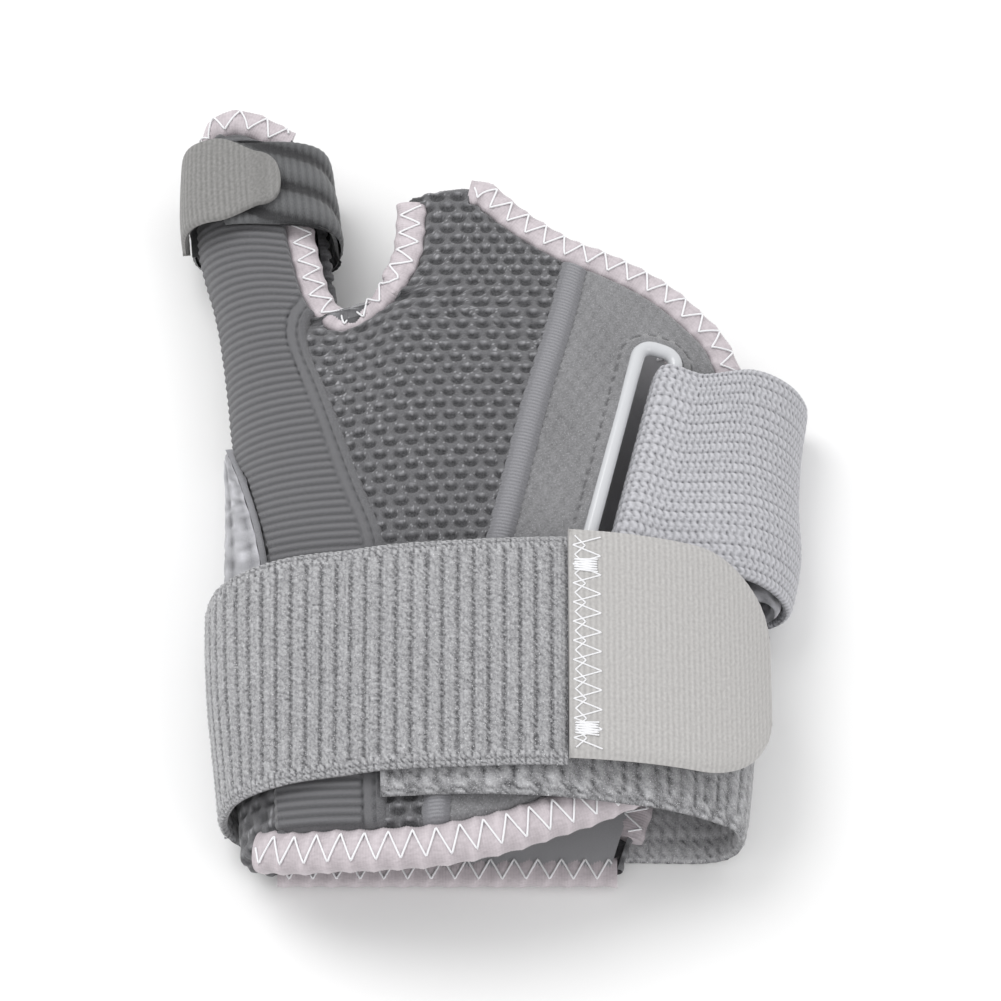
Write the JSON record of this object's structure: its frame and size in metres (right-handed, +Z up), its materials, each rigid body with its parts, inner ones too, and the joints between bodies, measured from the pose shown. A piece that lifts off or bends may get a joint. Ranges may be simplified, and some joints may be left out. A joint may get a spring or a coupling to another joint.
{
  "type": "thumb wrist support",
  "caption": "Thumb and wrist brace: a padded mesh and ribbed sheet folded round the wrist, with a thumb stay, satin edge tape, elastic straps and a plastic strap ring",
  "frame": {"origin": "centre of the box's floor rectangle, where the wrist strap lies on the surface", "axes": "+Z up, +Y from the wrist edge to the thumb tip, +X to the open side"},
  "size_m": [0.1294, 0.1744, 0.0413],
  "materials": {
    "ribbed_knit": "matt ribbed",
    "air_mesh": "open mesh",
    "piping_knit": "fine ribbed",
    "loop_flannel": "brushed",
    "satin_tape": "satin",
    "gloss_plastic": "gloss",
    "grey_elastic": "woven",
    "hook_tape": "ribbed hooks",
    "thumb_elastic": "ribbed",
    "thumb_hook_tape": "ribbed hooks"
  },
  "bodies": {
    "root": {"stay_pocket": "ribbed_knit", "palm_mesh_panel": "air_mesh", "panel_piping": "piping_knit", "ring_panel": "loop_flannel", "back_sheet": "air_mesh", "thumb_rim_binding": "satin_tape", "web_binding": "satin_tape", "palm_edge_binding": "satin_tape", "wrist_front_binding": "satin_tape", "wrist_back_binding": "satin_tape", "back_edge_binding": "satin_tape", "slot_ring": "gloss_plastic", "ring_strap": "grey_elastic", "wrist_strap": "grey_elastic", "wrist_strap_tab": "hook_tape", "thumb_strap": "thumb_elastic", "thumb_strap_tab": "thumb_hook_tape"}
  },
  "joints": []
}
